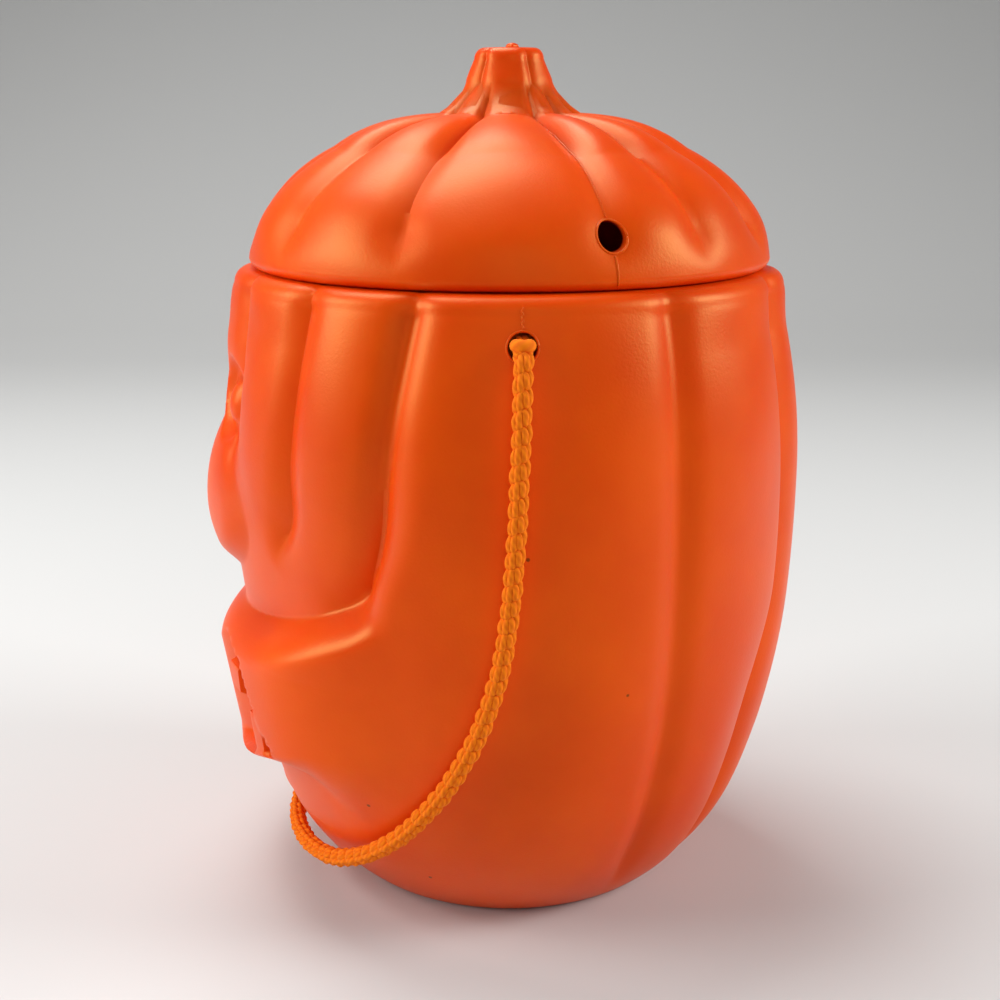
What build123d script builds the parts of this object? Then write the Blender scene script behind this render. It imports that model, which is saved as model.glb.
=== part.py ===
from build123d import *
import math
import os

# A lidded pumpkin candy pail, blow moulded in two pieces, with a knitted cord handle.
# Millimetres, +Z up. The origin is the middle of the standing ring, on the pail's axis.
# The face looks along -Y and the two cord holes lie on the X axis line.

# Pail: overall form
pail_height = 172.6        # floor to the ledge that the lid sits on
belly_radius = 81.7        # along the groove lines, without the swelling of the ribs
belly_height = 118.0
lower_reach = 129.7        # half height of the lower superellipse, cut off by the floor
upper_reach = 124.0        # half height of the upper ellipse, cut off by the ledge
lower_power = 2.55
shoulder_round = 4.0       # rounding from the side wall to the ledge
wall = 2.2
base_recess = 2.6          # depth of the push-up under the base
base_ring_width = 8.0      # width of the flat standing ring

# Pail: ribs, as turns in degrees from the middle of the face, the same on both sides
groove_turns = (28.0, 48.0, 71.0, 115.0, 135.0, 157.0, 180.0)
face_turn = 71.0           # the face is moulded between these two grooves
groove_depth = 2.4
rib_crown = 1.0            # how far a rib swells past the plain form
groove_top_fade = 16.0     # the ribs run out over this height below the ledge
groove_base_fade = 30.0    # and over this height above the floor

# Face relief: heights from the floor, widths measured round the belly
face_flat = 3.2            # the front of the pail is moulded this much flatter
face_flat_turn = 66.0      # degrees from the middle where that begins
nose_height = 108.5
nose_half_height = 22.0
nose_half_width = 36.0
nose_rise = 5.8
brow_height = 158.0
brow_half_height = 14.0
brow_half_width = 42.0
brow_rise = 2.2
eye_height = 139.0
eye_offset = 21.0
eye_radius = 13.0
eye_depth = 3.0
pupil_radius = 5.6
pupil_rise = 1.8
smile_height = 72.5        # top edge of the jaw at the middle of the face
smile_rise = 22.6          # how far that edge has climbed at the smile reach
smile_reach = 64.0         # degrees
smile_power = 1.9
smile_step = 5.4           # height of the step up from the jaw to the cheek
lip_hollow = 2.4           # depth of the hollow above the jaw at the middle of the face
cheek_depth = 6.2          # and in the cheeks
cheek_turn = 40.0          # degrees from the middle where the cheek is deepest
cheek_end_turn = 61.0      # and where it begins to come out to the side of the pail
cheek_fade = 48.0
jaw_rise_top = 5.8
jaw_rise_bottom = 10.2
jaw_flat_turn = 40.0       # degrees each side that the jaw keeps its full rise
jaw_end_turn = 70.0
lip_height = 36.0          # lower edge of the jaw at the middle of the face
lip_rise = 17.5            # how far that edge has climbed at the corner of the mouth
lip_power = 1.6
lip_undercut = 4.6         # height over which the jaw turns in below its edge
lip_undercut_side = 22.0   # the same at the sides, where the edge runs out
lip_front_turn = 34.0      # degrees each side that the edge stays sharp
lip_side_turn = 58.0       # and where it has run out
mouth_corner_turn = 47.0   # degrees
chin_height = 22.5
chin_half_height = 7.0
chin_half_width = 18.0
chin_rise = 2.6
mouth_top = 68.0           # height of the upper lip's edge at the middle of the grin
mouth_shoulder = 71.5      # and where the edge turns down to the corner
mouth_shoulder_reach = 44.0
mouth_corner = 54.5        # height of the corners of the grin
mouth_corner_reach = 59.0
mouth_bottom = 38.0        # height of the lower lip's edge at the middle
mouth_top_radius = 82.7    # radius of the sunk floor of the grin level with the jaw's upper edge
mouth_bottom_radius = 78.0 # and with its lower edge
mouth_room = 3.4           # the hollow inside keeps this far behind the jaw
tooth_width = 13.0
tooth_length = 9.0
upper_tooth_turn = 28.0    # degrees
lower_tooth_turn = 37.0    # degrees

# Neck of the pail, which rises inside the lid
neck_height = 7.0
neck_wall = 2.0
neck_edge_round = 0.6
neck_clearance = 0.8       # between the neck and the lip of the lid
inner_shoulder = 5.0       # height over which the inside draws in to the neck

# Lid
lid_gap = 0.3              # between the seated lid and the ledge
lid_radius = 71.0          # along its groove lines
dome_height = 41.0
dome_power = 2.1           # of the superellipse in the dome's outline
lid_wall = 2.0
lid_roll = 3.0             # rounding of the lid's lower edge
lid_turn = 19.0            # degrees that the lid is turned on the pail
lid_groove_turns = (14.0, 46.0, 90.0, 113.0, 138.0, 160.0, 180.0)
lid_groove_depth = 2.2
lid_rib_crown = 0.8
lid_edge_fade = 14.0       # the lid's ribs run out over this height above its edge
stem_foot_radius = 19.0    # where the stem flares into the dome
stem_radius = 11.6
stem_top_radius = 8.2
stem_flare_height = 222.0
stem_top_height = 230.0
stem_edge_round = 1.4
stem_flute_depth = 0.6

# Cord holes
hole_drop = 11.4           # below the ledge
pail_hole_radius = 3.5
lid_hole_radius = 3.6
lid_hole_rise = 12.4       # above the lid's lower edge

# Cord handle and its two knots inside the pail
cord_diameter = 4.8
cord_sides = 10
knot_radius = 6.0
knot_length = 11.0
knot_waist_share = 0.86    # the waist between the two turns, as a share of the knot's radius
knot_tail = 9.0

section_spacing = 10.5     # degrees between the points of a section
level_turn = 110.0         # degrees from the middle of the face where the sections lie level
overrun = 5.0              # how far a cut runs past the face that it opens

lid_base_height = pail_height + lid_gap
hole_height = pail_height - hole_drop


def ease(share):
    """0 up to 0, 1 from 1 on, and a smooth rise between them."""
    t = min(1.0, max(0.0, share))
    return t * t * (3 - 2 * t)


def dome(*shares, power=1.0):
    """A round swelling: 1 in its middle and 0 where the shares reach 1 together."""
    return max(0.0, 1 - sum(s * s for s in shares)) ** power


def both_sides(turns):
    """Every groove turn with its mirror image, in order round the axis."""
    return sorted({t % 360.0 for t in turns} | {-t % 360.0 for t in turns})


def from_front(turn):
    """Signed turn from the middle of the face, -180 to 180 degrees."""
    return (turn + 180.0) % 360.0 - 180.0


def spaced(low, high, count):
    """Evenly spaced values from low up to, but not including, high."""
    return [low + (high - low) * i / count for i in range(count)]


def round_axis(radius, turn, height):
    """Point at a radius and height, at a turn measured from -Y towards +X."""
    angle = math.radians(turn)
    return (radius * math.sin(angle), -radius * math.cos(angle), height)


pail_grooves = both_sides(groove_turns)
lid_grooves = both_sides(lid_groove_turns)


def ribs_between(grooves):
    """Each rib as the turns of the two grooves beside it."""
    return list(zip(grooves, grooves[1:] + [grooves[0] + 360.0]))


def rib_share(turn, grooves):
    """0 on a groove, 1 on the crest of a rib, along a round arch between them."""
    after = min((g - turn) % 360.0 for g in grooves)
    before = min((turn - g) % 360.0 for g in grooves)
    place = before / (before + after) if before + after else 0.0
    return 1 - (2 * place - 1) ** 2


def smile_line(turn):
    """Height of the jaw's upper edge, which climbs towards the sides of the face."""
    return smile_height + smile_rise * (abs(from_front(turn)) / smile_reach) ** smile_power


def lip_line(turn):
    """Height of the jaw's lower edge, which climbs to the corners of the mouth."""
    away = min(abs(from_front(turn)), mouth_corner_turn)
    return lip_height + lip_rise * (away / mouth_corner_turn) ** lip_power


def plain_radius(height):
    """The pail without ribs or face: a superellipse below the belly and an ellipse above."""
    if height < belly_height:
        drop = (belly_height - height) / lower_reach
        return belly_radius * (1 - drop ** lower_power) ** (1 / lower_power)
    lift = (height - belly_height) / upper_reach
    radius = belly_radius * math.sqrt(1 - lift * lift)
    into_round = max(0.0, height - (pail_height - shoulder_round))
    return radius - shoulder_round + math.sqrt(max(0.0, shoulder_round ** 2 - into_round ** 2))


def rib_relief(turn, height):
    """Ribs that swell past the plain form and sink below it at their grooves."""
    top_fade = ease((pail_height - height) / groove_top_fade)
    fade = top_fade * ease(height / groove_base_fade)
    sunk = groove_depth * (1 - rib_share(turn, pail_grooves))
    away = abs(from_front(turn))
    if away < (face_turn + groove_turns[3]) / 2:
        sunk *= ease((height - smile_line(min(away, face_turn))) / smile_step)
    return fade * (rib_crown - sunk)


def cheek_relief(turn, height):
    """The hollow of the cheeks, deepest just above the jaw."""
    away = abs(from_front(turn))
    above = height - smile_line(turn)
    depth = lip_hollow + (cheek_depth - lip_hollow) * ease(away / cheek_turn)
    across = ease((face_turn - away) / (face_turn - cheek_end_turn))
    return -depth * across * ease(above / smile_step) * ease(1 - above / cheek_fade)


def jaw_relief(turn, height, lowered):
    """The raised jaw between its two edges, running out into the sides of the pail."""
    away = abs(from_front(turn))
    across = ease((jaw_end_turn - away) / (jaw_end_turn - jaw_flat_turn))
    below = ease((smile_line(turn) + smile_step - height) / smile_step)
    softer = ease((away - lip_front_turn) / (lip_side_turn - lip_front_turn))
    undercut = lip_undercut + (lip_undercut_side - lip_undercut) * softer
    above = ease((height - lip_line(turn) + undercut) / undercut)
    place = (smile_height - height) / (smile_height - lip_height)
    rise = jaw_rise_top + (jaw_rise_bottom - jaw_rise_top) * min(1.0, max(0.0, place))
    return (rise - lowered) * across * below * above


def face_relief(turn, height, inside):
    """What the mould of the face adds to the ribbed pail; inside, room is left for mouth and eyes."""
    away = abs(from_front(turn))
    along = math.radians(away) * belly_radius
    nose = dome(along / nose_half_width, (height - nose_height) / nose_half_height, power=1.2)
    brow = dome(along / brow_half_width, (height - brow_height) / brow_half_height, power=1.5)
    chin = dome(along / chin_half_width, (height - chin_height) / chin_half_height, power=1.5)
    fade = ease((pail_height - height) / groove_top_fade) * ease(height / groove_base_fade)
    flat = face_flat * ease(1 - away / face_flat_turn) * fade
    relief = nose_rise * nose + brow_rise * brow + chin_rise * chin - flat
    relief += cheek_relief(turn, height) * (1 - ease(2 * nose))
    if inside:
        room = 2 * eye_radius
        eye = dome((along - eye_offset) / room, (height - eye_height) / room)
        return relief + jaw_relief(turn, height, mouth_room) - eye_depth * ease(2 * eye)
    return relief + jaw_relief(turn, height, 0.0)


def pail_radius(turn, height, inside=False):
    """Radius of the moulded form at a turn from the middle of the face and a height."""
    return plain_radius(height) + rib_relief(turn, height) + face_relief(turn, height, inside)


def ring_turns(grooves):
    """Turns of a section's points: on every groove, and evenly across each rib between."""
    turns = []
    for low_turn, high_turn in ribs_between(grooves):
        count = 2 * max(1, round((high_turn - low_turn) / section_spacing / 2))
        turns += spaced(low_turn, high_turn, count)
    return turns


def closed_ring(turns, place):
    """A closed smooth curve through one point per turn."""
    points = [place(turn) for turn in turns]
    knots = [math.radians(turn) for turn in turns] + [math.radians(turns[0] + 360.0)]
    return Wire([Edge.make_spline(points, periodic=True, parameters=knots)])


def lifted(height, turn, low, top):
    """A section's height at a turn: the sections beside the jaw's two edges climb with them."""
    away = abs(from_front(turn))
    settled = ease((level_turn - away) / (level_turn - face_turn))
    lip_lift = settled * (lip_line(away) - lip_height)
    smile_lift = settled * (smile_line(min(away, face_turn)) - smile_height)
    lip_start = lip_height - lip_undercut
    step_end = smile_height + smile_step
    if height < lip_start:
        return height + lip_lift * (height - low) / (lip_start - low)
    if height > step_end:
        return height + smile_lift * max(0.0, top - height) / (top - step_end)
    share = min(1.0, max(0.0, (height - lip_height) / (smile_height - lip_height)))
    return height + lip_lift + (smile_lift - lip_lift) * share


def pail_rings(radius_at, heights, top):
    """Sections of the pail, level at the lowest of the heights and from the given top on."""
    turns = ring_turns(pail_grooves)
    rings = []
    for height in heights:
        def place(turn):
            level = lifted(height, turn, heights[0], top)
            return round_axis(radius_at(turn, level), turn, level)
        rings.append(closed_ring(turns, place))
    return rings


def side_heights(low, high):
    """Heights of the sections between two levels: closer together over the lips."""
    lip_start = lip_height - lip_undercut
    step_end = smile_height + smile_step
    heights = spaced(low, chin_height, 4) + [chin_height] + spaced(lip_start, lip_height, 3)
    heights += spaced(lip_height, smile_height, 3) + spaced(smile_height, step_end, 3)
    return heights + spaced(step_end, high, 8)


def pail_outside():
    """The moulded outer form, from the floor to the ledge."""
    round_start = pail_height - shoulder_round
    round_shares = (0.0, 0.5, 0.85, 1.0)
    heights = side_heights(0.0, round_start)
    heights += [round_start + share * shoulder_round for share in round_shares]
    return Solid.make_loft(pail_rings(pail_radius, heights, round_start), ruled=True)


def neck_radii():
    """Outer and inner radius of the neck, from the lip of the lid that it fits inside."""
    outer = lid_lip_radius() - neck_clearance
    return outer, outer - neck_wall


def pail_inside():
    """The hollow: the outer form less its wall, drawn in under the ledge to the neck."""
    floor = base_recess + wall
    ceiling = pail_height - wall
    draw_start = ceiling - inner_shoulder
    drawn_in = neck_radii()[1] + neck_edge_round

    def inner_radius(turn, height):
        full = pail_radius(turn, min(height, draw_start), inside=True) - wall
        share = max(0.0, height - draw_start) / inner_shoulder
        return drawn_in + (full - drawn_in) * math.sqrt(1 - share * share)

    draw_shares = (0.0, 0.5, 0.85, 1.0)
    heights = side_heights(floor, draw_start)
    heights += [draw_start + share * inner_shoulder for share in draw_shares]
    return Solid.make_loft(pail_rings(inner_radius, heights, draw_start), ruled=True)


def standing_cylinder(radius, low, high):
    """A plain upright cylinder between two heights."""
    return Pos(0, 0, low) * Cylinder(radius, high - low, align=(Align.CENTER, Align.CENTER, Align.MIN))


def base_push_up():
    """The shallow dome under the base that leaves a flat ring to stand on."""
    rim = plain_radius(0.0) - base_ring_width
    sphere_radius = (rim ** 2 + base_recess ** 2) / (2 * base_recess)
    return Pos(0, 0, base_recess - sphere_radius) * Sphere(sphere_radius)


def grin_outline():
    """The open grin seen from the front: upper lip, slanting ends and a deeply curved lower lip."""
    shoulder = (mouth_shoulder_reach, 0, mouth_shoulder)
    corner = (mouth_corner_reach, 0, mouth_corner)
    far_shoulder = (-mouth_shoulder_reach, 0, mouth_shoulder)
    far_corner = (-mouth_corner_reach, 0, mouth_corner)
    upper = Edge.make_three_point_arc(far_shoulder, (0, 0, mouth_top), shoulder)
    lower = Edge.make_three_point_arc(corner, (0, 0, mouth_bottom), far_corner)
    ends = [Edge.make_line(shoulder, corner), Edge.make_line(far_corner, far_shoulder)]
    return Face(Wire([upper, ends[0], lower, ends[1]]))


def tooth(turn, edge, upper):
    """Block that is left standing in the grin, growing out of its upper or lower lip."""
    tip = edge - tooth_length if upper else edge + tooth_length
    middle = tip + belly_radius / 2 if upper else tip - belly_radius / 2
    block = Box(tooth_width, 2 * belly_radius, belly_radius)
    return Rot(0, 0, turn) * Pos(0, -belly_radius, middle) * block


def mouth():
    """The sunk grin with two teeth from each lip, as the solid to cut away."""
    slope = (mouth_top_radius - mouth_bottom_radius) / (smile_height - lip_height)
    low_radius = mouth_bottom_radius - slope * lip_height
    high_radius = low_radius + slope * pail_height
    floor = Cone(low_radius, high_radius, pail_height, align=(Align.CENTER, Align.CENTER, Align.MIN))
    grin = extrude(grin_outline(), 2 * belly_radius, dir=(0, -1, 0)) - floor
    for side in (1, -1):
        grin -= tooth(side * upper_tooth_turn, mouth_shoulder, True)
        grin -= tooth(side * lower_tooth_turn, lip_line(lower_tooth_turn), False)
    return grin


def ball_radius(cap_radius, cap_height):
    """Radius of the ball that a round cap is part of."""
    return (cap_radius ** 2 + cap_height ** 2) / (2 * cap_height)


def eye_ball(turn, cap_radius, cap_height, outwards):
    """A ball that hollows an eye or swells out of it by a cap of the given size."""
    radius = ball_radius(cap_radius, cap_height)
    surface = pail_radius(turn, eye_height)
    middle = surface - eye_depth + cap_height - radius if outwards else surface - eye_depth + radius
    return Rot(0, 0, turn) * Pos(0, -middle, eye_height) * Sphere(radius)


def pupil(turn):
    """A low round swelling in the middle of an eye."""
    reach = Pos(0, -pail_radius(turn, eye_height), eye_height) * Box(
        2 * pupil_radius, 2 * (eye_depth + wall / 2), 2 * pupil_radius)
    return eye_ball(turn, pupil_radius, pupil_rise, True) & Rot(0, 0, turn) * reach


def pail_body():
    """The pail: moulded shell, neck, mouth, eyes, push-up base and the two cord holes."""
    neck_outer, neck_inner = neck_radii()
    neck_top = pail_height + neck_height
    neck = standing_cylinder(neck_outer, pail_height - wall, neck_top)
    neck = fillet(neck.edges().sort_by(Axis.Z)[-1], neck_edge_round)
    body = Part([pail_outside()]) + neck
    body -= pail_inside()
    body -= standing_cylinder(neck_inner, pail_height - 2 * wall, neck_top + overrun)
    body -= base_push_up()
    body -= mouth()
    eye_turn = math.degrees(eye_offset / belly_radius)
    for turn in (eye_turn, -eye_turn):
        body -= eye_ball(turn, eye_radius, eye_depth, False)
        body += pupil(turn)
    hole = Cylinder(pail_hole_radius, 2 * (belly_radius + overrun))
    return body - Pos(0, 0, hole_height) * Rot(0, 90, 0) * hole


def lid_lip_radius():
    """Inside radius of the lid at its lower edge."""
    return lid_radius - lid_roll - lid_wall


def lid_stations():
    """The lid's outline as (radius, height, outward, upward, rib share, flute share) rows."""
    rows = []
    for share in (0.0, 0.15, 1.0):
        radius = lid_radius - lid_roll * (1 - math.sqrt(1 - (1 - share) ** 2))
        rows.append((radius, lid_base_height + share * lid_roll, 1.0, 0.0, 0.0, 0.0))
    start = math.asin((lid_roll / dome_height) ** (dome_power / 2))
    end = math.acos((stem_foot_radius / lid_radius) ** (dome_power / 2))
    dome_rows = 7
    for row in range(1, dome_rows + 1):
        slope = start + (end - start) * row / dome_rows
        lift = dome_height * math.sin(slope) ** (2 / dome_power)
        fade = ease((lift - lid_roll) / lid_edge_fade)
        radius = lid_radius * math.cos(slope) ** (2 / dome_power)
        rows.append((radius, lid_base_height + lift, math.cos(slope), math.sin(slope), fade, 0.0))
    return rows + stem_stations(rows[-1][1])


def stem_stations(foot_height):
    """The stem's outline, in the same rows, from its flared foot to its flat top."""
    rows = []
    flare = stem_flare_height - foot_height
    for share in (0.35, 1.0):
        radius = stem_radius + (stem_foot_radius - stem_radius) * (1 - share) ** 1.6
        rows.append((radius, foot_height + flare * share, 1.0, 0.0, (1 - share) ** 2, ease(share)))
    edge_height = stem_top_height - stem_edge_round
    edge_radius = stem_top_radius + stem_edge_round
    rows.append((edge_radius, edge_height, 1.0, 0.0, 0.0, 1.0))
    for share in (0.6, 1.0):
        radius = stem_top_radius + stem_edge_round * math.sqrt(1 - share * share)
        rows.append((radius, edge_height + stem_edge_round * share, 1.0, 0.0, 0.0, 1 - share))
    return rows


def lid_ring(station, inset):
    """A section of the lid, set in from the outside by a wall."""
    radius, height, outward, upward, rib_fade, flute_fade = station

    def place(turn):
        valley = 1 - rib_share(turn, lid_grooves)
        out = rib_fade * (lid_rib_crown - lid_groove_depth * valley)
        out -= flute_fade * stem_flute_depth * valley + inset
        return round_axis(radius + out * outward, turn, height + out * upward)

    return closed_ring(ring_turns(lid_grooves), place)


def lid_inside():
    """The hollow of the lid: straight up from the lip, then a wall inside the dome and stem."""
    lip = lid_lip_radius() + lid_wall
    low = [(lip, lid_base_height - overrun, 1.0, 0.0, 0.0, 0.0)]
    low.append((lip, lid_base_height + lid_roll / 2, 1.0, 0.0, 0.0, 0.0))
    rows = [s for s in lid_stations() if s[4] > 0 or s[1] == stem_flare_height]
    top = (stem_radius, stem_top_height - stem_edge_round - lid_wall, 1.0, 0.0, 0.0, 1.0)
    rings = [lid_ring(s, lid_wall) for s in low + rows + [top]]
    return Solid.make_loft(rings, ruled=True)


def lid():
    """The lid: ribbed dome with a hollow stem, open below, and two cord holes across it."""
    rings = [lid_ring(s, 0.0) for s in lid_stations()]
    form = Part([Solid.make_loft(rings, ruled=True)])
    form -= lid_inside()
    hole = Cylinder(lid_hole_radius, 2 * (lid_radius + overrun))
    form -= Pos(0, 0, lid_base_height + lid_hole_rise) * Rot(0, 90, 0) * hole
    return Rot(0, 0, lid_turn) * form


# Route of the cord's middle line from the wall of one hole round the front to the other.
# Points are chosen by hand: out of the hole, down the side, and slack under the chin.
cord_route = (
    (73.5, 0.0, 161.2),
    (78.2, 0.0, 161.2),
    (81.9, 0.0, 158.6),
    (84.4, -0.3, 150.2),
    (86.2, -0.9, 134.0),
    (86.8, -2.2, 108.0),
    (84.8, -5.6, 80.5),
    (79.2, -15.7, 54.5),
    (67.6, -31.5, 31.5),
    (49.5, -47.6, 17.5),
    (26.0, -59.5, 12.8),
    (0.5, -64.0, 11.8),
    (-25.5, -59.8, 12.6),
    (-49.0, -48.2, 17.0),
    (-67.6, -32.0, 31.0),
    (-79.3, -15.3, 54.5),
    (-84.9, -5.0, 81.0),
    (-86.8, -1.8, 108.5),
    (-86.2, -0.7, 134.0),
    (-84.4, -0.2, 150.2),
    (-81.9, 0.0, 158.6),
    (-78.2, 0.0, 161.2),
    (-73.5, 0.0, 161.2),
)
arc_share = 0.45           # of the shorter run, taken up by the bend at a corner


def bend_radii(points):
    """The largest easy bend at each corner of a route."""
    radii = []
    for before, corner, after in zip(points, points[1:], points[2:]):
        arriving = Vector(corner) - Vector(before)
        leaving = Vector(after) - Vector(corner)
        half_turn = math.radians(arriving.get_angle(leaving)) / 2
        shorter = min(arriving.length, leaving.length)
        radii.append(arc_share * shorter / math.tan(half_turn))
    return radii


def handle_cord():
    """The cord as a plain tube along its route."""
    radii = bend_radii(cord_route)
    path = FilletPolyline(*cord_route, radius=radii)
    start = Plane(origin=path @ 0, z_dir=path % 0)
    section = RegularPolygon(cord_diameter / 2, cord_sides)
    tube = sweep(start * section, path=path)
    print("cord length", round(path.length, 1), "bend radii", [round(r, 1) for r in radii])
    print("cord volume", round(tube.volume), "section times length", round(section.area * path.length))
    return tube


def knot():
    """An overhand knot pulled tight: two fat turns and a short tail, along +X."""
    half = knot_length / 2
    neck = cord_diameter / 2
    waist = knot_radius * knot_waist_share
    crests = Spline((0, neck), (half / 2, knot_radius), (half, waist), (half * 3 / 2, knot_radius),
                    (knot_length, neck))
    end = knot_length + knot_tail
    tail = Polyline((knot_length, neck), (end, neck), (end, 0), (0, 0), (0, neck))
    return revolve(make_face([*crests.edges(), *tail.edges()]), Axis.X)


def placed_knot(side):
    """A knot against the inside of the wall, on the hole's axis, with its tail inwards."""
    face = abs(cord_route[0][0])
    turn = 180.0 if side > 0 else 0.0
    return Pos(side * face, 0, hole_height) * Rot(0, 0, turn) * knot()


parts = {
    "pail_body": pail_body(),
    "lid": lid(),
    "handle_cord": handle_cord(),
    "right_knot": placed_knot(1),
    "left_knot": placed_knot(-1),
}

os.makedirs("parts", exist_ok=True)
for name, piece in parts.items():
    export_step(piece, os.path.join("parts", name + ".step"))
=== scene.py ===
# %% [markdown]
# # A pumpkin candy pail with a knitted cord handle
# The real pail is blown from orange plastic in a two-part mould: a ribbed pumpkin with a grinning
# face on one side, a loose lid with a stem, and a soft knitted cord knotted through two holes.
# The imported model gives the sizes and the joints; this script makes what the eye sees on top of it.

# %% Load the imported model
import math
import bpy
import numpy as np
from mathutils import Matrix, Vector


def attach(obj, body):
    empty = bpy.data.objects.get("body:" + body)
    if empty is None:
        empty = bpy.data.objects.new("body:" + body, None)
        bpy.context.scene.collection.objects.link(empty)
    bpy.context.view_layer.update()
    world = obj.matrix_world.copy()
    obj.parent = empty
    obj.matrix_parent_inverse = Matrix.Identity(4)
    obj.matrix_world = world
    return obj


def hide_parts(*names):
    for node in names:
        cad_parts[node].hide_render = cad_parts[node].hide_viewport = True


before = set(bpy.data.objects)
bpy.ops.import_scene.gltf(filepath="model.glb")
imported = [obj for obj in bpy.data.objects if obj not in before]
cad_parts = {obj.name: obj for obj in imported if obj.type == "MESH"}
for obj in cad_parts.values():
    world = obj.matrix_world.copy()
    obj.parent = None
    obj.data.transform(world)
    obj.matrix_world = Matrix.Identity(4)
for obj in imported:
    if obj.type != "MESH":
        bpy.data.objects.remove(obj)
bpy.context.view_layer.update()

# %% [markdown]
# ## The camera
# The photograph looks at the pail's right side, a little down, so that the face is seen edge on at
# the left. The camera stands 44 cm from the pail's axis, 22 cm up, and is tipped down by 14 degrees.

# %% Set the camera
tilt = math.radians(14.37)
aside = math.radians(2.0)
camera_data = bpy.data.cameras.new("photo_camera")
camera_data.lens = 56.99
camera_data.sensor_width = 36.0
camera = bpy.data.objects.new("photo_camera", camera_data)
bpy.context.collection.objects.link(camera)
camera.location = (0.4396, -0.0179, 0.2179)
looking = Vector((-math.cos(aside) * math.cos(tilt), math.sin(aside) * math.cos(tilt), -math.sin(tilt)))
camera.rotation_euler = looking.to_track_quat("-Z", "Y").to_euler()
bpy.context.scene.camera = camera
print("camera at", tuple(camera.location), "lens", camera_data.lens)

# %% [markdown]
# ## The knitted cord
# The handle is a tube knitted on a spool with four pegs: a single yarn goes round and round in
# loops, each pulled through the one below. The middle line of the cord is drawn first, with the
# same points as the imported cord, and the yarn is then wound along it stitch by stitch. A tube with
# a bump texture would not show the open, petal-like edge of the knitting, so the loops are real.

# %% Draw the cord's middle line
route = [
    (0.0735, 0.0, 0.1612), (0.0782, 0.0, 0.1612), (0.0819, 0.0, 0.1586), (0.0844, -0.0003, 0.1502),
    (0.0862, -0.0009, 0.1340), (0.0868, -0.0022, 0.1080), (0.0848, -0.0056, 0.0805),
    (0.0792, -0.0157, 0.0545), (0.0676, -0.0315, 0.0315), (0.0495, -0.0476, 0.0175),
    (0.0260, -0.0595, 0.0128), (0.0005, -0.0640, 0.0118), (-0.0255, -0.0598, 0.0126),
    (-0.0490, -0.0482, 0.0170), (-0.0676, -0.0320, 0.0310), (-0.0793, -0.0153, 0.0545),
    (-0.0849, -0.0050, 0.0810), (-0.0868, -0.0018, 0.1085), (-0.0862, -0.0007, 0.1340),
    (-0.0844, -0.0002, 0.1502), (-0.0819, 0.0, 0.1586), (-0.0782, 0.0, 0.1612), (-0.0735, 0.0, 0.1612),
]


def line_through(name, points):
    """Points along a smooth NURBS line that is guided by a few points."""
    curve = bpy.data.curves.new(name, "CURVE")
    curve.dimensions = "3D"
    curve.resolution_u = 24
    spline = curve.splines.new("NURBS")
    spline.points.add(len(points) - 1)
    for point, place in zip(spline.points, points):
        point.co = (*place, 1.0)
    spline.order_u = 3
    spline.use_endpoint_u = True
    drawn = bpy.data.objects.new(name, curve)
    mesh = bpy.data.meshes.new_from_object(drawn)
    line = np.array([v.co[:] for v in mesh.vertices])
    bpy.data.objects.remove(drawn)
    bpy.data.meshes.remove(mesh)
    return line


cord_line = line_through("cord_line", route)

# %% [markdown]
# The yarn goes to and fro along the line while it winds round it, so that each loop reaches back over
# the one below. A plain core inside closes the gaps between the loops.

# %% Knit along a line
wales = 4                  # columns of stitches round the cord
line_step = 0.0006         # spacing of the points that carry the knitting
stitch_points = 20         # points of yarn in a stitch
stitch_dive = 0.00032      # half of how far the yarn dives under its neighbour
yarn_sides = 7
core_share = 0.55          # radius of the core as a share of the cord's
core_sides = 8


def carried_frame(points, start=(0.31, 0.27, 0.91)):
    """Direction of a line and two directions across it, carried along without twisting.

    The start is any direction that the line doesn't begin along.
    """
    ahead = np.gradient(points, axis=0)
    ahead /= np.linalg.norm(ahead, axis=1)[:, None]
    across = np.zeros_like(points)
    side = np.cross(ahead[0], start)
    for i, direction in enumerate(ahead):
        side = side - direction * side.dot(direction)
        side = side / np.linalg.norm(side)
        across[i] = side
    return ahead, across, np.cross(ahead, across)


def tube_mesh(name, points, radius, sides):
    """A tube along close points, with its UV map running along (mm) and around (0 to 1)."""
    ahead, across, over = carried_frame(points)
    angles = (np.arange(sides) * 2 * math.pi / sides)[None, :, None]
    ring = np.cos(angles) * across[:, None, :] + np.sin(angles) * over[:, None, :]
    places = (points[:, None, :] + radius * ring).reshape(-1, 3)
    rows = np.arange(len(points) - 1)[:, None]
    side = np.arange(sides)[None, :]
    after = (side + 1) % sides
    faces = np.stack([rows * sides + side, rows * sides + after,
                      (rows + 1) * sides + after, (rows + 1) * sides + side], axis=-1).reshape(-1, 4)
    ends = [list(range(sides))[::-1], list(range(len(places) - sides, len(places)))]
    mesh = bpy.data.meshes.new(name)
    mesh.from_pydata(places.tolist(), [], faces.tolist() + ends)
    reach = np.concatenate([[0.0], np.cumsum(np.linalg.norm(np.diff(points, axis=0), axis=1))]) * 1000.0
    low = np.broadcast_to(reach[:-1, None], (len(points) - 1, sides)).ravel()
    high = np.broadcast_to(reach[1:, None], (len(points) - 1, sides)).ravel()
    turn = np.broadcast_to(side / sides, (len(points) - 1, sides)).ravel()
    far_turn = turn + 1.0 / sides
    corners = np.stack([low, turn, low, far_turn, high, far_turn, high, turn], axis=-1).ravel()
    layer = mesh.uv_layers.new(name="along_yarn")
    layer.data.foreach_set("uv", np.concatenate([corners, np.zeros(4 * sides)]))
    mesh.update()
    piece = bpy.data.objects.new(name, mesh)
    bpy.context.collection.objects.link(piece)
    return piece


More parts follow.
